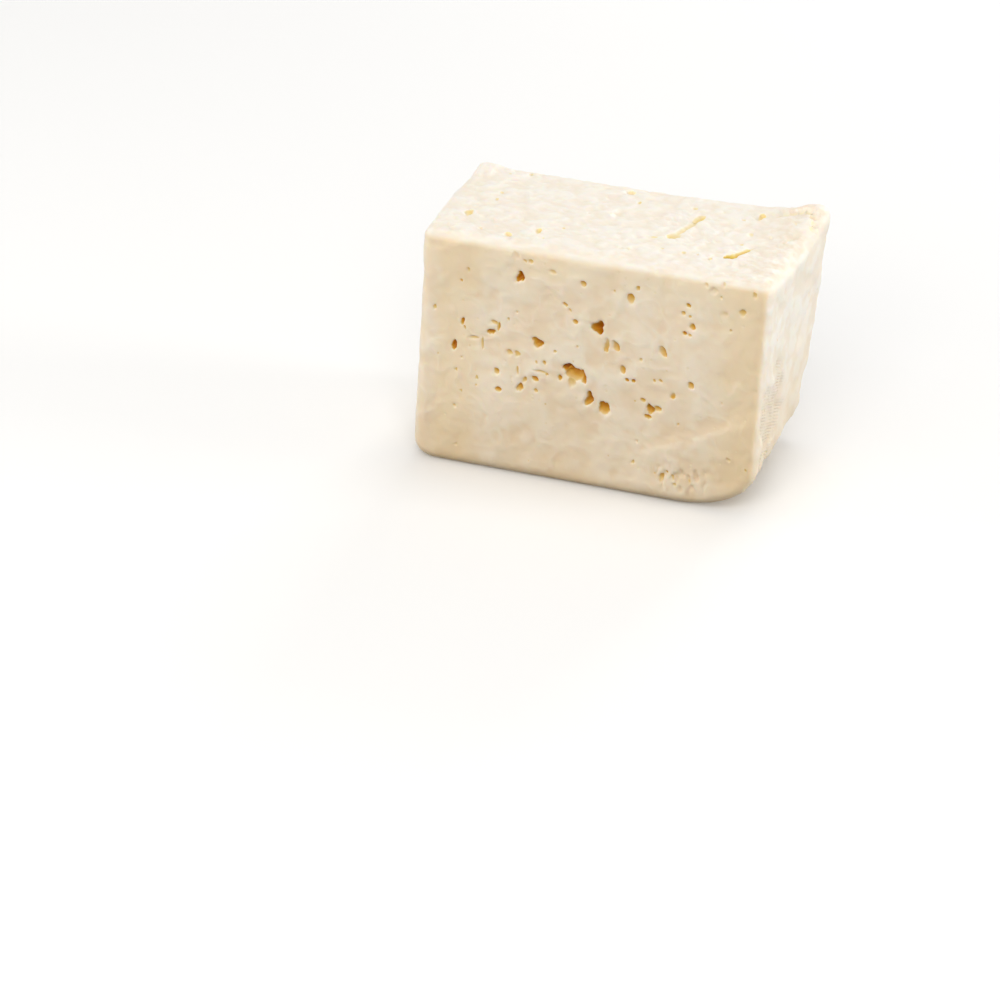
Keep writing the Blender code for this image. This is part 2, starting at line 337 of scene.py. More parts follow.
# %% [markdown]
# ## Where the holes are
#
# In a real block, the holes are gaps between curds, so they are uneven, often three-cornered,
# and they run together. The eye knows those of the front and the top by their places, so they are
# named one by one. The smallest, and those of the other faces, only need to be as many and as
# mixed as on the real thing, so a seeded random draw sets them.

# %% The faces, and what describes a hole
Face = namedtuple("Face", "out across up")
FACES = {
    "front": Face(Vector((0, -1, 0)), Vector((1, 0, 0)), Vector((0, 0, 1))),
    "back": Face(Vector((0, 1, 0)), Vector((-1, 0, 0)), Vector((0, 0, 1))),
    "right": Face(Vector((1, 0, 0)), Vector((0, 1, 0)), Vector((0, 0, 1))),
    "left": Face(Vector((-1, 0, 0)), Vector((0, -1, 0)), Vector((0, 0, 1))),
    "top": Face(Vector((0, 0, 1)), Vector((1, 0, 0)), Vector((0, 1, 0))),
}

# Places and sizes are in mm, and tilt turns the mouth, in degrees anticlockwise. Deep is a share
# of the depth of a round hole of that size. Corners says how many corners the mouth has, amber
# how dark its deepest place is, and lean the way in which the hollow runs on under the skin.
Hole = namedtuple("Hole", "across up wide high tilt deep corners amber lean")

# %% The holes of the front
FRONT_HOLES = (
    # The largest, where several hollows run together.
    Hole(-7.4, 40.2, 3.9, 3.0, 20, 0.9, 0, 1.15, 110),
    Hole(-5.1, 38.6, 6.0, 4.4, -20, 0.6, 0, 0.8, 80),
    Hole(-2.8, 38.0, 2.0, 5.0, 8, 0.9, 0, 0.85, 20),
    Hole(-6.3, 35.4, 3.2, 4.6, -20, 0.2, 0, 0.3, 80),
    # The deep ones round it.
    Hole(1.4, 56.0, 4.2, 3.7, 60, 1.0, 3, 1.0, -20),
    Hole(-0.6, 30.9, 2.7, 4.8, -16, 0.9, 3, 0.9, 30),
    Hole(4.5, 28.4, 3.7, 4.8, 0, 0.6, 0, 0.8, 80),
    Hole(-18.1, 46.9, 3.6, 3.2, 10, 0.8, 3, 0.9, 40),
    Hole(4.4, 50.1, 1.8, 4.9, -6, 0.5, 0, 0.42, -60),
    Hole(7.6, 50.3, 2.2, 3.6, 18, 0.7, 0, 0.55, 10),
    Hole(9.9, 42.9, 1.8, 2.9, 15, 0.7, 0, 0.55, 10),
    Hole(19.4, 31.0, 2.3, 3.6, 5, 0.9, 3, 0.85, 60),
    Hole(21.9, 31.6, 2.4, 1.9, 0, 0.8, 0, 0.6, 60),
    Hole(18.8, 28.3, 2.4, 1.4, -15, 0.8, 0, 0.75, 80),
    Hole(22.4, 51.5, 2.1, 4.3, 32, 0.6, 0, 0.45, -10),
    Hole(32.2, 41.8, 2.1, 2.6, 0, 0.7, 0, 0.6, 60),
    # Small ones up in the middle.
    Hole(-24.3, 68.4, 2.2, 3.5, -16, 1.1, 3, 1.2, 30),
    Hole(-3.8, 69.7, 1.7, 2.1, 25, 0.9, 0, 0.55, 60),
    Hole(-9.4, 61.5, 1.9, 1.4, -30, 0.9, 0, 0.6, 60),
    Hole(-7.7, 59.9, 0.9, 1.6, 25, 0.6, 0, 0.4, 60),
    Hole(-5.9, 56.4, 1.9, 1.4, -25, 0.9, 0, 0.65, 60),
    Hole(11.6, 67.0, 2.4, 3.5, 5, 0.55, 0, 0.5, 80),
    Hole(13.7, 71.0, 1.4, 1.9, -25, 0.6, 0, 0.5, 60),
    Hole(29.3, 58.9, 1.5, 1.1, -20, 1.2, 0, 1.0, 60),
    Hole(31.0, 58.5, 1.3, 1.1, -20, 0.7, 0, 0.5, 60),
    Hole(31.6, 61.4, 1.9, 2.3, 15, 0.8, 0, 0.65, 10),
    Hole(30.0, 68.2, 1.6, 1.3, -15, 0.9, 0, 0.75, 60),
    Hole(28.5, 65.3, 1.5, 1.5, 0, 0.7, 0, 0.5, 60),
    Hole(30.7, 64.6, 1.0, 1.0, 0, 0.8, 0, 0.5, 60),
    Hole(47.1, 68.6, 2.4, 2.5, 0, 0.4, 0, 0.4, 60),
    Hole(41.5, 67.2, 2.8, 2.6, 0, 0.15, 0, 0.15, 60),
    Hole(50.6, 75.2, 1.5, 2.4, 0, 0.3, 0, 0.3, 60),
    # The left.
    Hole(-45.3, 41.4, 1.6, 3.3, -6, 1.1, 0, 1.15, 60),
    Hole(-42.8, 49.8, 1.1, 2.6, -12, 1.0, 0, 0.85, 60),
    Hole(-42.0, 48.0, 0.9, 1.6, 20, 0.6, 0, 0.5, 60),
    Hole(-33.3, 47.8, 2.9, 1.7, 22, 1.0, 0, 1.0, 80),
    Hole(-32.4, 51.2, 2.4, 1.5, -10, 0.5, 0, 0.42, 60),
    Hole(-30.9, 50.0, 1.0, 3.0, -8, 0.7, 0, 0.65, 10),
    Hole(-27.0, 42.1, 2.3, 2.0, 0, 0.45, 0, 0.42, 60),
    Hole(-24.6, 42.0, 2.2, 2.1, 10, 0.45, 3, 0.4, 60),
    Hole(-39.0, 44.9, 3.9, 1.3, 8, 0.35, 0, 0.3, 60),
    Hole(-36.1, 43.4, 0.9, 5.2, 0, 0.5, 0, 0.4, 10),
    Hole(-52.1, 53.2, 1.4, 1.8, 0, 0.5, 0, 0.4, 60),
    Hole(-41.3, 67.7, 1.1, 1.9, 0, 0.5, 0, 0.35, 60),
    Hole(-43.5, 63.6, 1.2, 0.9, -40, 0.9, 0, 0.6, 60),
    # Down towards the foot.
    Hole(-18.2, 34.6, 2.3, 1.8, -10, 0.9, 0, 0.85, 60),
    Hole(-23.2, 30.8, 2.0, 3.2, -30, 0.6, 0, 0.65, 60),
    Hole(-21.7, 33.6, 1.4, 2.8, -28, 0.5, 0, 0.45, 60),
    Hole(-31.0, 35.0, 1.8, 2.3, 20, 0.6, 0, 0.55, 60),
    Hole(-30.2, 29.0, 2.2, 1.5, -15, 0.8, 0, 0.75, 60),
    Hole(-18.0, 30.6, 1.4, 1.4, 0, 0.6, 0, 0.5, 60),
    Hole(-10.2, 36.4, 1.4, 1.9, 0, 0.8, 0, 0.8, 60),
    Hole(-15.5, 40.6, 1.2, 1.5, 0, 0.7, 0, 0.55, 60),
    Hole(-18.0, 40.4, 0.9, 1.2, 30, 0.5, 0, 0.4, 60),
    Hole(-17.0, 37.4, 5.2, 0.9, -2, 0.4, 0, 0.3, 60),
    Hole(-14.6, 36.8, 1.2, 1.0, -20, 0.7, 0, 0.6, 60),
    Hole(-24.1, 36.3, 0.9, 3.8, 4, 0.4, 0, 0.4, 60),
    Hole(17.0, 33.8, 2.1, 1.3, -10, 0.7, 0, 0.6, 60),
    Hole(11.7, 39.8, 1.3, 1.1, 0, 1.3, 0, 1.0, 60),
    Hole(13.7, 39.8, 1.3, 1.0, 0, 1.3, 0, 1.0, 60),
    Hole(20.4, 41.0, 1.2, 1.1, 0, 0.7, 0, 0.5, 60),
    Hole(22.4, 41.4, 1.5, 0.9, -30, 0.7, 0, 0.5, 60),
    Hole(26.6, 37.1, 1.7, 2.4, -12, 0.6, 0, 0.5, -80),
    # The deepest pits of the crumbly place at the foot.
    Hole(24.3, 8.4, 1.5, 4.0, -10, 0.6, 0, 0.4, 60),
    Hole(26.1, 11.0, 0.8, 0.9, 0, 1.1, 0, 0.8, 60),
    Hole(28.0, 9.2, 0.9, 2.4, 12, 0.7, 0, 0.35, 60),
    Hole(28.7, 7.0, 1.4, 1.2, -12, 0.6, 0, 0.35, 60),
    Hole(33.4, 8.6, 0.8, 2.0, 8, 0.6, 0, 0.25, 60),
    Hole(22.0, 9.6, 1.0, 1.0, 8, 0.5, 0, 0.3, 60),
    # Nicks along the top edge, where the cut tore it.
    Hole(-25.9, 75.2, 2.2, 4.0, 6, 0.2, 3, 0.12, 60),
    Hole(-21.0, 74.0, 1.7, 1.7, 0, 0.5, 0, 0.4, 60),
    Hole(-13.9, 71.9, 2.8, 1.6, 0, 0.3, 0, 0.25, 60),
    Hole(35.3, 75.9, 1.5, 1.9, 10, 0.5, 0, 0.2, 60),
    Hole(37.6, 74.4, 3.0, 2.4, 0, 0.3, 0, 0.12, 60),
    Hole(40.7, 76.8, 1.3, 2.2, -10, 0.5, 0, 0.2, 60),
)

# %% The pits, slits and the groove of the top
TOP_HOLES = (
    # The two slits, with their wider ends.
    Hole(18.8, 3.6, 2.5, 21, -13, 0.12, 0, 0.28, -13),
    Hole(17.0, -3.9, 4.0, 5.4, -30, 0.22, 0, 0.42, -100),
    Hole(20.5, 10.8, 2.9, 7.0, -14, 0.24, 0, 0.5, -13),
    Hole(39.5, -8.6, 2.0, 11.5, -29, 0.26, 0, 0.7, -30),
    Hole(37.5, -11.6, 3.4, 4.6, -25, 0.5, 0, 1.0, -100),
    # The pits.
    Hole(-47.8, -12.3, 2.7, 4.8, 0, 0.4, 0, 0.34, 60),
    Hole(-42.9, 1.1, 1.2, 1.8, 0, 0.6, 0, 0.35, 60),
    Hole(-30.8, -23.4, 2.6, 3.0, 0, 0.4, 0, 0.3, 60),
    Hole(-22.9, -17.2, 2.5, 4.4, 10, 0.5, 0, 0.36, 60),
    Hole(-19.7, -22.3, 1.0, 1.2, 0, 0.6, 0, 0.3, 60),
    Hole(-16.4, -12.5, 1.4, 1.8, 0, 0.4, 0, 0.3, 60),
    Hole(-39.8, 25.4, 1.6, 2.0, 0, 0.4, 0, 0.25, 60),
    Hole(-4.4, 5.1, 3.8, 5.0, 0, 0.12, 0, 0.08, 60),
    Hole(-6.0, 23.5, 3.4, 3.6, 20, 0.3, 0, 0.22, 60),
    Hole(-0.8, 16.6, 1.2, 2.6, 0, 0.5, 0, 0.35, 60),
    Hole(11.3, -7.3, 2.8, 1.6, 10, 0.3, 0, 0.25, 60),
    Hole(16.9, 18.5, 2.2, 2.2, 0, 0.4, 0, 0.25, 60),
    Hole(38.4, 18.6, 2.4, 5.0, 0, 0.5, 0, 0.38, 60),
    Hole(39.0, 5.5, 2.2, 3.2, 0, 0.2, 0, 0.2, 60),
    Hole(38.2, -2.2, 1.8, 2.2, 0, 0.3, 0, 0.25, 60),
    Hole(41.6, -16.0, 4.6, 5.0, 0, 0.12, 0, 0.04, 60),
    # The shallow row along the right edge.
    Hole(52.0, 7.0, 2.6, 2.2, 30, 0.25, 0, 0.1, 60),
    Hole(50.4, 3.2, 2.0, 3.0, -20, 0.25, 0, 0.1, 60),
    Hole(51.6, -0.6, 2.4, 2.0, 10, 0.25, 0, 0.08, 60),
    Hole(49.6, -4.4, 1.8, 2.6, 20, 0.25, 0, 0.08, 60),
    Hole(51.2, -9.6, 1.8, 1.6, -20, 0.25, 0, 0.08, 60),
)

GROOVE_AT = (49.4, 16.6)
GROOVE_RADIUS = 7.2
GROOVE_ENDS = (-5, 150)
GROOVE_HOLES = 8
GROOVE_WIDTH = 3.4
GROOVE_LENGTH = 3.8
GROOVE_DEEP = 0.3
GROOVE_AMBER = 0.16


def groove_holes():
    """Shallow hollows on an arc that curls inside the ear, which nearly run together."""
    start, end = GROOVE_ENDS
    for number in range(GROOVE_HOLES):
        angle = mix(start, end, number / (GROOVE_HOLES - 1))
        across = GROOVE_AT[0] + GROOVE_RADIUS * math.cos(math.radians(angle))
        up = GROOVE_AT[1] + GROOVE_RADIUS * math.sin(math.radians(angle))
        size = (GROOVE_WIDTH, GROOVE_LENGTH)
        yield Hole(across, up, *size, angle, GROOVE_DEEP, 0, GROOVE_AMBER, angle + 180)


# %% Scattering the small ones
# For each face: how many holes, the smallest and the largest in mm, and how dark their colour is,
# partly stain and partly painted shade.
SCATTER = {
    "front": (32, 0.8, 1.4, 0.8),
    "back": (85, 0.8, 3.8, 1),
    "right": (8, 0.6, 1.3, 0.6),
    "left": (42, 0.8, 3.4, 1),
    "top": (18, 0.9, 1.7, 0.4),
}
SCATTER_MARGIN = 5.0
SMALL_BIAS = 2.2
LENGTH_SHARES = (0.8, 1.7)
TILTS = (-60, 60)
DEEPS = (0.3, 1.0)
CORNER_COUNTS = (0, 0, 3)
AMBERS = (0.25, 0.55)
AMBER_BY_SIZE = (0.7, 1.7)
LEANS = (10, 110)
CLEARANCE = 0.55
SEED = 11


def clear_of(placed, hole):
    return all(
        math.hypot(hole.across - other.across, hole.up - other.up)
        > (max(hole.wide, hole.high) + max(other.wide, other.high)) * CLEARANCE
        for other in placed
    )


def scattered(name, taken, dice):
    """The holes already named on a face, and small ones set at random clear of them."""
    count, smallest, largest, stain_and_shade = SCATTER[name]
    length = DEPTH if name in ("left", "right") else WIDTH
    half_across = length / 2 / MM - SCATTER_MARGIN
    low, high = SCATTER_MARGIN, HEIGHT / MM - SCATTER_MARGIN
    if name == "top":
        low, high = SCATTER_MARGIN - DEPTH / 2 / MM, DEPTH / 2 / MM - SCATTER_MARGIN
    placed = list(taken)
    while len(placed) < len(taken) + count:
        wide = mix(smallest, largest, dice.random() ** SMALL_BIAS)
        size_share = (wide - smallest) / (largest - smallest)
        hole = Hole(
            dice.uniform(-half_across, half_across),
            dice.uniform(low, high),
            wide,
            wide * dice.uniform(*LENGTH_SHARES),
            dice.uniform(*TILTS),
            dice.uniform(*DEEPS),
            dice.choice(CORNER_COUNTS),
            stain_and_shade * dice.uniform(*AMBERS) * mix(*AMBER_BY_SIZE, size_share),
            dice.uniform(*LEANS),
        )
        if clear_of(placed, hole):
            placed.append(hole)
    return placed


def all_holes():
    """(face, hole) for every hole of the block."""
    dice = random.Random(SEED)
    named = {"front": FRONT_HOLES, "top": TOP_HOLES + tuple(groove_holes())}
    for name in SCATTER:
        for hole in scattered(name, named.get(name, ()), dice):
            yield FACES[name], hole


# %% Seating each hole on the skin
Seat = namedtuple("Seat", "hole place facing across up lean number")


def seated(face, hole, number):
    """The hole with its place on the skin and the ways along it, or None beside the block."""
    start = face.out * WIDTH * 2 + face.across * hole.across * MM + face.up * hole.up * MM
    place, facing, _, _ = skin.ray_cast(start, -face.out)
    if place is None:
        return None
    across = (face.across - facing * face.across.dot(facing)).normalized()
    up = facing.cross(across)
    tilt = Matrix.Rotation(math.radians(hole.tilt), 3, facing)
    lean = Matrix.Rotation(math.radians(hole.lean), 3, facing) @ across
    return Seat(hole, place, facing, tilt @ across, tilt @ up, lean, number)


seats = [seated(face, hole, number) for number, (face, hole) in enumerate(all_holes())]
seats = [seat for seat in seats if seat]
print(len(seats), "holes are seated")

# %% [markdown]
# ## Making room for detail
#
# A grid of just over one millimetre is too coarse for a hole of two. Instead of a fine grid
# everywhere, the edges near the holes, and all those of the front, of the flaky top and of the
# cloth's print, are subdivided once more, and those right at the holes a second time.

# %% Subdividing where detail comes
FIRST_REACH = 1.5
FIRST_MARGIN = 1.2 * MM
SECOND_REACH = 1.25
SECOND_MARGIN = 0.5 * MM
SHOWN_FACING = 0.6


def tree_of_points(form):
    tree = KDTree(len(form.verts))
    for index, vert in enumerate(form.verts):
        tree.insert(vert.co, index)
    tree.balance()
    return tree


def points_near_holes(form, reach, margin):
    tree = tree_of_points(form)
    near = set()
    for seat in seats:
        radius = max(seat.hole.wide, seat.hole.high) / 2 * MM * reach + margin
        near.update(index for _, index, _ in tree.find_range(seat.place, radius))
    return near


def subdivide_between(form, chosen):
    form.verts.index_update()
    edges = [edge for edge in form.edges if all(vert.index in chosen for vert in edge.verts)]
    bmesh.ops.subdivide_edges(form, edges=edges, cuts=1, use_grid_fill=True)
    form.verts.index_update()
    form.normal_update()


shown = {
    index
    for index, vert in enumerate(form.verts)
    if vert.normal.z > SHOWN_FACING
    or vert.normal.y < -SHOWN_FACING
    or (vert.normal.x > SHOWN_FACING and cloth_print(vert.co) > 0)
}
subdivide_between(form, shown | points_near_holes(form, FIRST_REACH, FIRST_MARGIN))
subdivide_between(form, points_near_holes(form, SECOND_REACH, SECOND_MARGIN))
print("the form has", len(form.verts), "points with its fine places")

# %% [markdown]
# ## The fine relief of the skin
#
# The cut faces are nearly smooth, with the faint waves and lines that cutting leaves and a few
# pale veins. The top dried and is flaky: short ridges that lie more or less one way, and low
# edges where one flake ends on the next. Noise read at several lengths gives all of them. The top
# reads it squeezed in one direction and a little bent, so that its flakes lie that way.

# %% Waves on the cut faces, flakes on the top
# Without a seed, Blender's vector noise follows the clock and differs from run to run.
noise.seed_set(SEED)

WAVE_HEIGHTS = ((0.26 * MM, 9 * MM), (0.18 * MM, 4 * MM), (0.11 * MM, 2.0 * MM))
VEIN_HEIGHT = 0.13 * MM
VEIN_LENGTH = 6.5 * MM
VEIN_WARP = 2.5 * MM
VEIN_WIDTH = 0.13
VEIN_STARTS = (-0.15, 0.3)
CUT_LINE_HEIGHT = 0.03 * MM
CUT_LINE_LENGTH = Vector((26, 26, 1.6)) * MM
FLAKE_HEIGHTS = ((0.32 * MM, 7 * MM), (0.26 * MM, 2.8 * MM), (0.18 * MM, 1.5 * MM))
FLAKE_EDGES = ((0.14 * MM, 4 * MM), (0.10 * MM, 2.0 * MM))
FLAKE_EDGE_WIDTH = 0.1
FLAKE_TURN = 12
FLAKE_SQUEEZE = 1.3
FLAKE_BEND = 2.5 * MM
FLAKE_BEND_LENGTH = 14 * MM

CRUMB_AT = Vector((30, 9.5)) * MM
CRUMB_SIZE = Vector((13, 8)) * MM
CRUMB_WHOLE_SHARE = 0.4
CRUMB_LENGTH = 1.5 * MM
CRUMB_SQUEEZE = 0.5
CRUMB_DEPTH = 0.7 * MM
CRUMB_BIAS = (0.0, 0.5)

CREASE = ((-15.2, 66.3), (-9.8, 61.5), (-6.0, 57.4), (0.0, 56.4), (4.6, 48.6))
CREASE_DEPTH = 0.16 * MM
CREASE_WIDTH = 0.9 * MM


def layered(point, layers):
    return sum(height * noise.noise(point / length) for height, length in layers)


def waves(point):
    drawn_out = Vector(point[axis] / CUT_LINE_LENGTH[axis] for axis in range(3))
    return layered(point, WAVE_HEIGHTS) + CUT_LINE_HEIGHT * noise.noise(drawn_out)


def veins(point):
    """1 on the thin pale ridges that wander over a cut face, and 0 between them."""
    warped = point + VEIN_WARP * noise.noise_vector(point / (2 * VEIN_LENGTH))
    line = 1 - smooth_step(0, VEIN_WIDTH, abs(noise.noise(warped / VEIN_LENGTH)))
    return line * smooth_step(*VEIN_STARTS, noise.noise(point / (3 * VEIN_LENGTH)))


def flakes(point):
    bent = point + FLAKE_BEND * noise.noise_vector(point / FLAKE_BEND_LENGTH)
    turned = Matrix.Rotation(math.radians(FLAKE_TURN), 3, "Z") @ bent
    turned.y *= FLAKE_SQUEEZE
    edges = sum(
        height * smooth_step(-FLAKE_EDGE_WIDTH, FLAKE_EDGE_WIDTH, noise.noise(turned / length))
        for height, length in FLAKE_EDGES
    )
    return layered(turned, FLAKE_HEIGHTS) + edges - sum(height for height, _ in FLAKE_EDGES) / 2


def crumbs(point):
    """The puckered place at the front's foot."""
    across = (point.x - CRUMB_AT.x) / CRUMB_SIZE.x
    up = (point.z - CRUMB_AT.y) / CRUMB_SIZE.y
    inside = 1 - smooth_step(CRUMB_WHOLE_SHARE, 1, math.hypot(across, up))
    squeezed = Vector((point.x, point.y, point.z * CRUMB_SQUEEZE)) / CRUMB_LENGTH
    return -CRUMB_DEPTH * inside * smooth_step(*CRUMB_BIAS, noise.noise(squeezed))


def crease(point):
    """The fine crack that runs between the holes of the front's middle."""
    place = Vector((point.x, point.z))
    stretches = zip(CREASE, CREASE[1:])
    away = min(
        away_from_line(place, Vector(start) * MM, Vector(end) * MM) for start, end in stretches
    )
    return -CREASE_DEPTH * (1 - smooth_step(0, CREASE_WIDTH, away))


# %% How dry and how raised each point of the skin is
DRY_TOP_FACING = (0.15, 0.7)
DRY_RIGHT_FACING = (0.4, 0.8)
DRY_RIGHT_HEIGHTS = (15 * MM, 58 * MM)
DRY_RIGHT_SHARES = (0.55, 0.95)
DRY_LEFT_FACING = (0.35, 0.95)
DRY_LEFT_SHARE = 0.5

ROUGH_FACING = (0.5, 0.9)
RIGHT_ROUGHER = 2.0
FLAKY_FACING = (0.6, 0.97)
FRONT_FACING = 0.7

# How raised a point is starts from LEVEL. A span is the height that adds 1 to it, and a share is
# how much a vein, the crumbs or the step change it at most. The colour follows it: low places are
# browner, partly painted shade, and raised ones whiter, partly painted highlight.
LEVEL = 0.5
WAVE_SPAN = 0.45 * MM
FLAKE_SPAN = 0.9 * MM
VEIN_SHARE = 0.35
CRUMB_SHARE = 0.6
STEP_SHARE = 0.45


def dryness(point, facing):
    """0 on a face cut wet, and up to 1 on the skin that dried: the top and the two ends. In colour,
    the cut faces' warmer cream is partly painted warm shade.
    """
    top = smooth_step(*DRY_TOP_FACING, facing.z)
    right = smooth_step(*DRY_RIGHT_FACING, facing.x)
    right *= mix(*DRY_RIGHT_SHARES, smooth_step(*DRY_RIGHT_HEIGHTS, point.z))
    left = smooth_step(*DRY_LEFT_FACING, -facing.x) * DRY_LEFT_SHARE
    return max(top, right, left)


def add_relief(form):
    """Moves the skin, and returns how dry and how raised each of its points is."""
    moves = []
    dry = []
    raised = []
    for vert in form.verts:
        point, facing = vert.co, vert.normal
        wave = waves(point) * mix(1, RIGHT_ROUGHER, smooth_step(*ROUGH_FACING, facing.x))
        vein = veins(point)
        flake = flakes(point)
        flaky = smooth_step(*FLAKY_FACING, facing.z)
        out = mix(wave + VEIN_HEIGHT * vein, flake, flaky)
        crumb = crumbs(point) if point.y <= 0 else 0
        if facing.y < -FRONT_FACING:
            out += crease(point) + crumb
        moves.append(facing * out * smooth_step(0, FLAT_FOOT, point.z))
        dry.append(dryness(point, facing))
        cut_raised = LEVEL + wave / WAVE_SPAN + VEIN_SHARE * vein + CRUMB_SHARE * crumb / CRUMB_DEPTH
        # Painted shade over the step: a lower value here turns the colour browner.
        cut_raised -= STEP_SHARE * step_painted_shade(point) * max(0.0, -facing.y)
        raised.append(mix(cut_raised, LEVEL + flake / FLAKE_SPAN, flaky))
    for vert, move in zip(form.verts, moves):
        vert.co += move
    return dry, raised


# %% [markdown]
# ## Pressing the holes in
#
# A hole could be cut with a Boolean, as in the CAD solid, but its lip would be quite sharp.
# Here the skin is pressed in instead. A point's place within the mouth is read as an angle on a
# ball that sits under the skin: the mouth's middle goes to the ball's far end, and points near
# the lip bulge outwards beneath it, so that the hole is a little wider inside than at its mouth.

# %% The shape of one hole
BALL_ANGLE = math.radians(108)
BALL_RADIUS = 1 / math.sin(BALL_ANGLE)
ROUND_DEPTH = BALL_RADIUS * (1 - math.cos(BALL_ANGLE))
MOUTH_LOBES = ((0.32, 0.9), (0.20, 2.2))
MOUTH_SPARE = 1.4
NOISE_APART = 2.31
CORNER_SHARPNESS = 0.2
LIP_REACH = 1.6
LIP_LEVEL_SHARE = 0.6
SHOULDER_DEPTH = 0.22
MIDDLE_SHARE = 0.01
SMALL_HOLE = 0.5 * MM
LARGE_HOLE = 1.9 * MM
SMALL_DEPTH_SHARE = 0.6
LEAN_SHARE = 0.5
WALL_UNEVENNESS = 0.35
WALL_LENGTH = 1.1 * MM
LIP_DEPTH = 0.25 * MM
# A hole's colour is partly the whey's stain and partly painted shade. Under its overhanging side
# it is darkest, a painted shadow, and its other lip gets a painted highlight, paler than the skin.
STAIN_AND_SHADE_SOFTNESS = 0.55
STAIN_AND_SHADE_NEAR = (0.4, 0.95)
OVERHUNG_STAIN_AND_SHADE = 1.35
OVERHUNG = (-0.9, 0.8)
HIGHLIGHT_SIDE = (0.3, -1)


def mouth_radius(angle, seat):
    """How far out the mouth's edge is in a direction, where 1 is the plain oval."""
    apart = seat.number * NOISE_APART
    uneven = sum(
        height * noise.noise(Vector((math.cos(angle) * lobes, math.sin(angle) * lobes, apart)))
        for height, lobes in MOUTH_LOBES
    )
    corners = CORNER_SHARPNESS * math.cos(seat.hole.corners * angle) if seat.hole.corners else 0
    return 1 + uneven + corners


def pressed(point, seat):
    """(depth, stain and painted shade, painted lip highlight, move) that one hole gives to a point
    of the skin.
    """
    hole = seat.hole
    away = point - seat.place
    across = away.dot(seat.across) / (hole.wide * MM / 2)
    up = away.dot(seat.up) / (hole.high * MM / 2)
    share = math.hypot(across, up) / mouth_radius(math.atan2(up, across), seat)
    if share >= LIP_REACH:
        return 0, 0, 0, None
    size = math.sqrt(hole.wide * hole.high) * MM / 2
    towards_lean = away.dot(seat.lean) / size
    deep = hole.deep * mix(SMALL_DEPTH_SHARE, 1, smooth_step(SMALL_HOLE, LARGE_HOLE, size))
    shoulder = size * deep * SHOULDER_DEPTH
    lip = 1 - smooth_step(LIP_LEVEL_SHARE, LIP_REACH, share)
    if share >= 1:
        # Outside the mouth, on the side away from the lean, the lip is painted paler: a painted
        # highlight.
        pale = lip * hole.amber * smooth_step(*HIGHLIGHT_SIDE, towards_lean)
        return 0, 0, pale, -seat.facing * shoulder * lip
    angle = share * BALL_ANGLE
    fall = (math.cos(angle) - math.cos(BALL_ANGLE)) / (1 - math.cos(BALL_ANGLE))
    depth = size * deep * ROUND_DEPTH * fall + shoulder * lip
    depth *= 1 + WALL_UNEVENNESS * noise.noise(point / WALL_LENGTH)
    spread = BALL_RADIUS * (math.sin(angle) / share if share > MIDDLE_SHARE else BALL_ANGLE)
    spread = mix(1, spread, min(1.0, deep))
    along = away - seat.facing * away.dot(seat.facing)
    near = mix(*STAIN_AND_SHADE_NEAR, hole.amber)
    # Under the overhanging side the colour is darkest: a painted shadow, on top of the stain.
    overhung = smooth_step(*OVERHUNG, towards_lean)
    stain_and_shade = hole.amber * fall**STAIN_AND_SHADE_SOFTNESS * mix(near, OVERHUNG_STAIN_AND_SHADE, overhung)
    move = along * (spread - 1) + (seat.lean * LEAN_SHARE - seat.facing) * depth
    return depth, stain_and_shade, 0, move


# %% Pressing all of them, and keeping how each point is stained
def press_holes(form):
    """Moves the skin, and returns each point's depth, stain and painted shade, painted lip
    highlight, and the moves.
    """
    tree = tree_of_points(form)
    form.verts.ensure_lookup_table()
    depths = [0.0] * len(form.verts)
    stains_and_shade = [0.0] * len(form.verts)
    lip_highlights = [0.0] * len(form.verts)
    moves = {}
    for seat in seats:
        radius = max(seat.hole.wide, seat.hole.high) / 2 * MM * LIP_REACH * MOUTH_SPARE
        for place, index, _ in tree.find_range(seat.place, radius):
            depth, stain_and_shade, pale, move = pressed(place, seat)
            lip_highlights[index] = max(lip_highlights[index], pale)
            if move and (index not in moves or depth > depths[index]):
                depths[index] = depth
                stains_and_shade[index] = max(stains_and_shade[index], stain_and_shade)
                moves[index] = move
    for index, move in moves.items():
        form.verts[index].co += move
    return depths, stains_and_shade, lip_highlights, moves


def soften_lips(form, depths, moves):
    form.verts.ensure_lookup_table()
    lips = [form.verts[index] for index in moves if depths[index] < LIP_DEPTH]
    bmesh.ops.smooth_vert(
        form, verts=lips, factor=0.5, use_axis_x=True, use_axis_y=True, use_axis_z=True
    )


dry_places, raised_places = add_relief(form)
depths, stains_and_shade, lip_highlights, pressed_moves = press_holes(form)
soften_lips(form, depths, pressed_moves)
print("the deepest hole is", round(max(depths) / MM, 1), "mm deep")

# %% The piece, with what its material reads from the skin
# Painted shade: the colour darkens from this height down to the bottom.
LOWER_SHADE_HEIGHT = 42 * MM
# More painted shade over the last few mm at the foot.
FOOT_SHADE_HEIGHT = 6 * MM
# Between these heights the front is painted lighter and warmer: a painted glow under the top.
PAINTED_GLOW_HEIGHTS = (64 * MM, 76 * MM)
TAN_FROM = (34 * MM, 50 * MM)
TAN_LEFT_FROM = (-34 * MM, -42 * MM)
TAN_LEFT_TO = (-49 * MM, -53 * MM)
TAN_LEFT_SHARE = 0.7
WORN_FROM = (36 * MM, 50 * MM)
WORN_FACING = (0.5, 0.9)
CLOTH_FACING = (0.3, 0.8)


def tan_band(x):
    """1 in the band at the front's right edge where it is browner, and less in the left one."""
    left = smooth_step(*TAN_LEFT_FROM, x) * (1 - smooth_step(*TAN_LEFT_TO, x))
    return smooth_step(*TAN_FROM, x) + TAN_LEFT_SHARE * left


def keep_value(mesh, name, values):
    mesh.attributes.new(name, "FLOAT", "POINT").data.foreach_set("value", values)


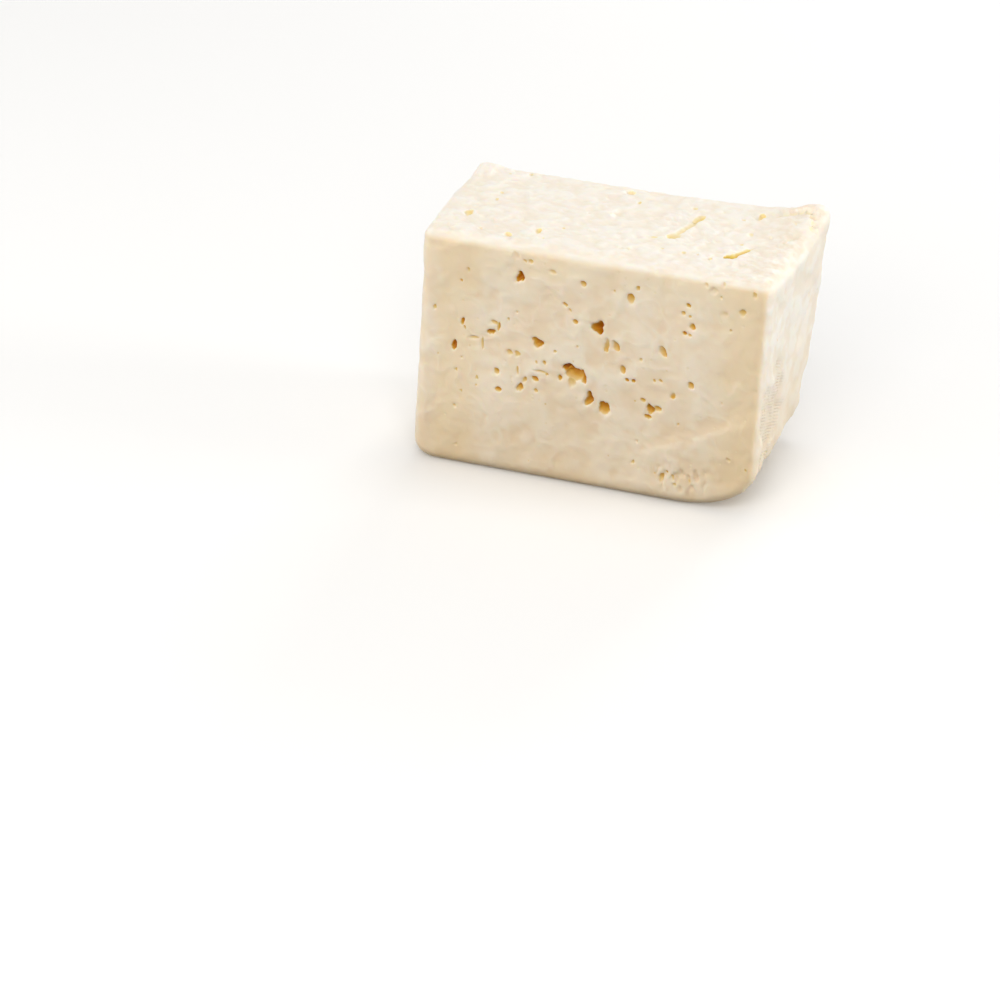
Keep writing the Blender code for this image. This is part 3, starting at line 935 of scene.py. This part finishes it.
def printed(vert):
    return cloth_print(vert.co) * smooth_step(*CLOTH_FACING, vert.normal.x)


def worn_away(vert):
    """1 on the right end of the top, where the white skin is rubbed thin."""
    return smooth_step(*WORN_FROM, vert.co.x) * smooth_step(*WORN_FACING, vert.normal.z)


form.normal_update()
mesh = bpy.data.meshes.new("sheep_cheese")
form.to_mesh(mesh)
skin_values = {
    "hollow": [min(1.0, stain_and_shade) for stain_and_shade in stains_and_shade],
    "dry": dry_places,
    "raised": raised_places,
    "damp": [1 - smooth_step(0, LOWER_SHADE_HEIGHT, vert.co.z) for vert in form.verts],
    "foot": [1 - smooth_step(0, FOOT_SHADE_HEIGHT, vert.co.z) for vert in form.verts],
    "cloth": [printed(vert) for vert in form.verts],
    "glow": [smooth_step(*PAINTED_GLOW_HEIGHTS, vert.co.z) for vert in form.verts],
    "tan": [tan_band(vert.co.x) for vert in form.verts],
    "worn": [worn_away(vert) for vert in form.verts],
    "pale": lip_highlights,
}
form.free()
for name, values in skin_values.items():
    keep_value(mesh, name, values)
mesh.shade_smooth()
cheese = bpy.data.objects.new("sheep_cheese", mesh)
bpy.context.scene.collection.objects.link(cheese)
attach(cheese, "root")
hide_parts(NODE)
mesh.calc_loop_triangles()
print("the piece has", len(mesh.loop_triangles), "triangles")

# %% [markdown]
# ## Shader maths as plain sums
#
# A material here is a few masks and a few colours. So that a mask reads as a sum, a small class
# wraps a node's socket and turns Python's signs into Math nodes.


# %% Wires and nodes
class Wire:
    """A socket whose value can be reckoned with."""

    def __init__(self, finish, socket):
        self.finish = finish
        self.socket = socket

    def reckon(self, operation, *values):
        sockets = dict(enumerate(values))
        return self.finish.add("ShaderNodeMath", {"operation": operation}, sockets)

    def __add__(self, other):
        return self.reckon("ADD", self, other)

    def __mul__(self, other):
        return self.reckon("MULTIPLY", self, other)

    def __sub__(self, other):
        return self.reckon("SUBTRACT", self, other)

    def __rsub__(self, other):
        return self.reckon("SUBTRACT", other, self)

    def between(self, low, high):
        """0 below low, 1 above high, and smooth between them."""
        return self.finish.add(
            "ShaderNodeMapRange",
            {"interpolation_type": "SMOOTHSTEP"},
            {"Value": self, "From Min": low, "From Max": high},
        )


class Finish:
    """A material whose nodes are added one by one."""

    def __init__(self, name):
        self.material = bpy.data.materials.new(name)
        self.material.use_nodes = True
        self.tree = self.material.node_tree
        self.shader = self.tree.nodes["Principled BSDF"]

    def put(self, socket, value):
        if isinstance(value, Wire):
            self.tree.links.new(value.socket, socket)
        else:
            socket.default_value = value

    def add(self, kind, settings=None, sockets=None, output=0):
        node = self.tree.nodes.new(kind)
        for name, value in (settings or {}).items():
            if name == "stops":
                self.set_stops(node.color_ramp, value)
            else:
                setattr(node, name, value)
        for name, value in (sockets or {}).items():
            self.put(node.inputs[name], value)
        return Wire(self, node.outputs[output])

    def set_stops(self, ramp, stops):
        while len(ramp.elements) < len(stops):
            ramp.elements.new(1)
        for element, (place, colour) in zip(ramp.elements, stops):
            element.position = place
            element.color = (*colour, 1)

    def value_kept(self, name):
        return self.add("ShaderNodeAttribute", {"attribute_name": name}, output="Fac")

    def colours_mixed(self, share, first, second, blend="MIX"):
        settings = {"data_type": "RGBA", "blend_type": blend}
        sockets = {0: share, 6: first, 7: second}
        return self.add("ShaderNodeMix", settings, sockets, output=2)


# %% [markdown]
# ## The curd
#
# Sheep's curd is a warm ivory. What makes it cheese and not plaster is that light enters it: the
# shader's subsurface value does that, and red light travels furthest. In the holes the light is
# turned back many times and comes out amber, and the whey that stays there adds to it, so the
# colour follows how far into a hole a point lies: partly the whey's stain, partly painted shade,
# with a painted shadow under the overhanging side and a painted highlight on the other lip. The
# top is dry and nearly white, with paler flakes, partly painted highlight. The cut faces are warmer
# cream, partly painted warm shade, and browner in low places, partly painted shade, above the step,
# as painted shade, and in a band inside each upright edge of the front. A painted glow lightens the
# front under its top, and painted shade darkens the skin towards the foot.

# %% Colours of the curd
# The cut faces' cream is warmer than the dried top's white: partly the wet cut, partly painted warm
# shade.
CUT_CREAM = (0.91, 0.76, 0.565, 1)
CUT_PALE = (0.94, 0.825, 0.66, 1)
CUT_TAN_AND_LOW_SHADE = (0.89, 0.73, 0.53, 1)
CUT_WHITE_AND_RIDGE_HIGHLIGHT = (0.95, 0.83, 0.67, 1)
DRY_WHITE = (0.94, 0.885, 0.80, 1)
DRY_CREAM = (0.91, 0.825, 0.705, 1)
# Painted shade, multiplied in towards the bottom.
LOWER_SHADE_TINT = (0.92, 0.89, 0.83, 1)
# More painted shade at the foot.
FOOT_SHADE_TINT = (0.86, 0.80, 0.70, 1)
# A painted glow, lighter and warmer, under the top edge.
PAINTED_GLOW_CREAM = (0.95, 0.80, 0.58, 1)
BAND_TAN = (0.90, 0.72, 0.46, 1)
CLOTH_TAN = (0.80, 0.69, 0.53, 1)
WORN_TAN = (0.87, 0.76, 0.62, 1)
# Painted highlight on the lit lip of each hole.
LIP_HIGHLIGHT_CREAM = (0.96, 0.88, 0.75, 1)
# Colours by depth in a hole: partly the whey's stain, partly painted shade.
HOLLOW_STAIN_AND_SHADE_STOPS = (
    (0.0, (0.90, 0.76, 0.52)),
    (0.3, (0.79, 0.57, 0.23)),
    (0.55, (0.70, 0.39, 0.05)),
    (0.8, (0.61, 0.26, 0.01)),
    (1.0, (0.50, 0.16, 0.0)),
)
DRY_HOLLOW_STAIN_AND_SHADE_STOPS = (
    (0.0, (0.93, 0.84, 0.67)),
    (0.3, (0.91, 0.76, 0.42)),
    (0.6, (0.84, 0.60, 0.13)),
    (1.0, (0.58, 0.36, 0.02)),
)

# How much of each of these colours shows at most.
PAINTED_GLOW_SHARE = 0.6
TAN_SHARE = 0.7
LIP_HIGHLIGHT_SHARE = 0.7
CLOTH_SHARE = 0.55
RIB_SHARE = 0.25
PINHOLE_STAIN_AND_SHADE = 0.55
DRY_PINHOLE_LOSS = 0.6

curd = Finish("ivory_curd")
place = curd.add("ShaderNodeTexCoord", output="Object")
hollow = curd.value_kept("hollow")
dry = curd.value_kept("dry")
raised = curd.value_kept("raised")
damp = curd.value_kept("damp")
foot = curd.value_kept("foot")
cloth = curd.value_kept("cloth")
glow = curd.value_kept("glow")
tan = curd.value_kept("tan")
worn = curd.value_kept("worn")
painted_lip_highlights = curd.value_kept("pale")


def grain(scale, detail, roughness=0.55):
    """Noise over the block: scale is how many of its waves lie in a metre."""
    sockets = {"Vector": place, "Scale": scale, "Detail": detail, "Roughness": roughness}
    return curd.add("ShaderNodeTexNoise", {}, sockets)


# Patches are about two centimetres across, blotches half a centimetre, and the grains under 2 mm.
patches = grain(45, 3)
blotches = grain(190, 4)
flake_grain = grain(620, 5, 0.65)
fine_grain = grain(1900, 3)

# %% The ribs that the cloth printed
RIB_SPACING = 1.0 * MM
RIB_TILT = math.radians(69)
RIBS_ALONG_Y = 2 * math.pi * math.cos(RIB_TILT) / RIB_SPACING
RIBS_ALONG_Z = 2 * math.pi * math.sin(RIB_TILT) / RIB_SPACING
RIB_WAVER = 9
RIBS_WHERE = (0.38, 0.55)

y_place = curd.add("ShaderNodeSeparateXYZ", {}, {"Vector": place}, output="Y")
z_place = curd.add("ShaderNodeSeparateXYZ", {}, {"Vector": place}, output="Z")
rib_phase = y_place * RIBS_ALONG_Y + z_place * RIBS_ALONG_Z + patches * RIB_WAVER
ribs = curd.add("ShaderNodeMath", {"operation": "SINE"}, {0: rib_phase})
ribs = ribs * cloth * blotches.between(*RIBS_WHERE)

# %% Pinholes too small to model
PINHOLE_SCALE = 420
PINHOLE_RADIUS = 0.24
PINHOLE_SHARE = 0.14
PINHOLE_EDGE = 0.02

# Each pinhole is coloured like a hollow: partly stain, partly painted shade of a pit too small to
# model.
pin_cells = {"Vector": place, "Scale": PINHOLE_SCALE}
pin_away = curd.add("ShaderNodeTexVoronoi", {}, pin_cells, output="Distance")
pin_colour = curd.add("ShaderNodeTexVoronoi", {}, pin_cells, output="Color")
pin_lot = curd.add("ShaderNodeSeparateColor", {}, {"Color": pin_colour}, output=0)
pinned = 1 - pin_lot.between(PINHOLE_SHARE, PINHOLE_SHARE + PINHOLE_EDGE)
pinholes = (1 - pin_away.between(0.5 * PINHOLE_RADIUS, PINHOLE_RADIUS)) * pinned

# %% Putting the colours together
PALE_PATCHES = (0.35, 0.65)
WORN_BLOTCHES = (0.42, 0.62)
LOW_RAISED = (0.0, 0.6)
HIGH_RAISED = (0.5, 1.1)
FLAKE_RAISED = (0.2, 0.8)
MOUTH_HOLLOW = (0.0, 0.25)

cut_colour = curd.colours_mixed(patches.between(*PALE_PATCHES), CUT_CREAM, CUT_PALE)
# Low places browner and raised ones whiter: partly the curd's own tone, partly painted shade in the
# lows and painted highlight on the ridges.
cut_colour = curd.colours_mixed(1 - raised.between(*LOW_RAISED), cut_colour, CUT_TAN_AND_LOW_SHADE)
cut_colour = curd.colours_mixed(raised.between(*HIGH_RAISED), cut_colour, CUT_WHITE_AND_RIDGE_HIGHLIGHT)
# The top's raised flakes are whiter: partly drier curd, partly painted highlight.
dry_colour = curd.colours_mixed(raised.between(*FLAKE_RAISED), DRY_CREAM, DRY_WHITE)
dry_colour = curd.colours_mixed(worn * blotches.between(*WORN_BLOTCHES), dry_colour, WORN_TAN)
# Painted glow under the top edge.
cut_colour = curd.colours_mixed(glow * PAINTED_GLOW_SHARE, cut_colour, PAINTED_GLOW_CREAM)
cut_colour = curd.colours_mixed(tan * TAN_SHARE, cut_colour, BAND_TAN)
# Painted highlight on the lit lips of the holes.
cut_colour = curd.colours_mixed(painted_lip_highlights * LIP_HIGHLIGHT_SHARE, cut_colour, LIP_HIGHLIGHT_CREAM)
# The cut faces' warmer cream is partly painted warm shade.
skin_colour = curd.colours_mixed(dry, cut_colour, dry_colour)
skin_colour = curd.colours_mixed(cloth * CLOTH_SHARE - ribs * RIB_SHARE, skin_colour, CLOTH_TAN)
# More painted shade at the foot.
skin_colour = curd.colours_mixed(foot, skin_colour, FOOT_SHADE_TINT, blend="MULTIPLY")
# Painted shade: darker towards the bottom.
skin_colour = curd.colours_mixed(damp, skin_colour, LOWER_SHADE_TINT, blend="MULTIPLY")
# The colour in a hole follows its depth: partly stain, partly painted shade.
hollow_stain_and_shade_colour = curd.colours_mixed(
    dry,
    curd.add("ShaderNodeValToRGB", {"stops": HOLLOW_STAIN_AND_SHADE_STOPS}, {"Fac": hollow}),
    curd.add("ShaderNodeValToRGB", {"stops": DRY_HOLLOW_STAIN_AND_SHADE_STOPS}, {"Fac": hollow}),
)
# Pinholes: partly stain, partly painted shade.
pin_stain_and_shade = pinholes * PINHOLE_STAIN_AND_SHADE * (1 - dry * DRY_PINHOLE_LOSS)
stain_and_shade_share = (pin_stain_and_shade + hollow.between(*MOUTH_HOLLOW)).between(0, 1)
colour = curd.colours_mixed(stain_and_shade_share, skin_colour, hollow_stain_and_shade_colour)

# %% Relief below what the mesh holds, and the gloss
FLAKE_BUMP = 0.28
CUT_BUMP = 0.14
FINE_BUMP = 0.12
BLOTCH_BUMP = 0.18
PINHOLE_BUMP = 0.25
RIB_BUMP = 0.3
BUMP_STRENGTH = 0.55
BUMP_HEIGHT = 0.4 * MM

CUT_ROUGHNESS = 0.38
DRY_ROUGHER = 0.12
BLOTCH_ROUGHER = 0.2
LIGHT_SHARE = 0.3
LIGHT_REACH = 2.5 * MM
LIGHT_REACHES = (1.0, 0.6, 0.3)
CURD_SHINE = 0.35

relief = flake_grain * (dry * (FLAKE_BUMP - CUT_BUMP) + CUT_BUMP) + fine_grain * FINE_BUMP
relief = relief + blotches * BLOTCH_BUMP - pinholes * PINHOLE_BUMP + ribs * RIB_BUMP
bump = {"Strength": BUMP_STRENGTH, "Distance": BUMP_HEIGHT, "Height": relief}
roughness = dry * DRY_ROUGHER + blotches * BLOTCH_ROUGHER + CUT_ROUGHNESS
curd_surface = {
    "Base Color": colour,
    "Roughness": roughness,
    "Normal": curd.add("ShaderNodeBump", {}, bump, output="Normal"),
    "Subsurface Weight": LIGHT_SHARE,
    "Subsurface Radius": LIGHT_REACHES,
    "Subsurface Scale": LIGHT_REACH,
    "Specular IOR Level": CURD_SHINE,
}
for name, value in curd_surface.items():
    curd.put(curd.shader.inputs[name], value)
mesh.materials.append(curd.material)
print("the curd's finish has", len(curd.tree.nodes), "nodes")

# %% [markdown]
# ## The floor, the light and the camera
#
# The stage is a plain pale floor. The key is a large lamp in front and above, so that each hole
# keeps its own soft shadow. A small lamp overhead whitens the top, one on the right whitens that
# face, and others fill the left, the front and the back. A white floor would also light the front
# from below and wash the holes out, so it takes no part in the soft bounces of light.

# %% The floor
FLOOR_SIZE = 6
FLOOR_DROP = 0.1 * MM

floor_form = bmesh.new()
bmesh.ops.create_grid(floor_form, x_segments=2, y_segments=2, size=FLOOR_SIZE / 2)
bmesh.ops.translate(floor_form, verts=floor_form.verts, vec=(0, 0, -FLOOR_DROP))
floor_mesh = bpy.data.meshes.new("floor")
floor_form.to_mesh(floor_mesh)
floor_form.free()
floor = bpy.data.objects.new("floor", floor_mesh)
floor.visible_diffuse = False
bpy.context.scene.collection.objects.link(floor)
floor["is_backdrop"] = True

pale = Finish("pale_floor")
pale_surface = {
    "Base Color": (0.96, 0.96, 0.96, 1),
    "Roughness": 0.9,
    "Specular IOR Level": 0.1,
}
for name, value in pale_surface.items():
    pale.put(pale.shader.inputs[name], value)
floor_mesh.materials.append(pale.material)

# %% The lamps
LOOKED_AT = Vector((0, 0, 40)) * MM
WHITE = (1, 0.99, 0.97)


def softbox(name, place, size, watts, colour):
    lamp = bpy.data.lights.new(name, "AREA")
    lamp.size = size
    lamp.energy = watts
    lamp.color = colour
    holder = bpy.data.objects.new(name, lamp)
    holder.location = place
    holder.rotation_euler = (LOOKED_AT - Vector(place)).to_track_quat("-Z", "Y").to_euler()
    bpy.context.scene.collection.objects.link(holder)


softbox("key", (0.25, -1.1, 0.95), 0.9, 8.6, (1, 0.98, 0.95))
softbox("above", (0.0, 0.2, 1.1), 0.4, 1.4, WHITE)
softbox("right", (1.15, 0.2, 0.18), 0.35, 7.2, WHITE)
softbox("left", (-1.0, -0.25, 0.2), 0.5, 3.5, (1, 0.99, 0.96))
softbox("front_fill", (-0.5, -1.1, 0.5), 0.6, 2.8, (1, 0.93, 0.81))
softbox("behind", (0.1, 1.2, 0.45), 0.5, 5.0, WHITE)

# %% The soft light from all round
SKY = 0.45
GROUND = 0.2
HALF_HORIZON = 0.15

world = bpy.data.worlds.new("studio")
world.use_nodes = True
nodes = world.node_tree.nodes
backdrop = nodes["Background"]
direction = nodes.new("ShaderNodeTexCoord").outputs["Generated"]
parts = nodes.new("ShaderNodeSeparateXYZ")
strength = nodes.new("ShaderNodeMapRange")
horizon = {
    "From Min": -HALF_HORIZON,
    "From Max": HALF_HORIZON,
    "To Min": GROUND,
    "To Max": SKY,
}
for name, value in horizon.items():
    strength.inputs[name].default_value = value
world.node_tree.links.new(direction, parts.inputs["Vector"])
world.node_tree.links.new(parts.outputs["Z"], strength.inputs["Value"])
world.node_tree.links.new(strength.outputs["Result"], backdrop.inputs["Strength"])
backdrop.inputs["Color"].default_value = (1, 1, 1, 1)
bpy.context.scene.world = world
bpy.context.scene.view_settings.view_transform = "Standard"

# %% The camera
CAMERA_AT = (0.3624, -1.2124, 0.6237)
CAMERA_PITCH = 26.95
CAMERA_TURN = 18.28
CAMERA_ROLL = 1.97
LENS = 158.8
SENSOR_WIDTH = 36
NEAREST = 0.01

camera = bpy.data.objects.new("camera", bpy.data.cameras.new("camera"))
turn = Matrix.Rotation(math.radians(CAMERA_TURN), 4, "Z")
tip = Matrix.Rotation(math.radians(90 - CAMERA_PITCH), 4, "X")
roll = Matrix.Rotation(math.radians(CAMERA_ROLL), 4, "Z")
camera.matrix_world = Matrix.Translation(CAMERA_AT) @ turn @ tip @ roll
camera.data.lens = LENS
camera.data.sensor_width = SENSOR_WIDTH
camera.data.clip_start = NEAREST
bpy.context.scene.collection.objects.link(camera)
bpy.context.scene.camera = camera

# %% The sizes of the CAD block and of the scene, printed
sizes = {"cad": cad_box, "visual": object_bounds()}
plain = {name: [list(corner) for corner in box] for name, box in sizes.items()}
print(plain)
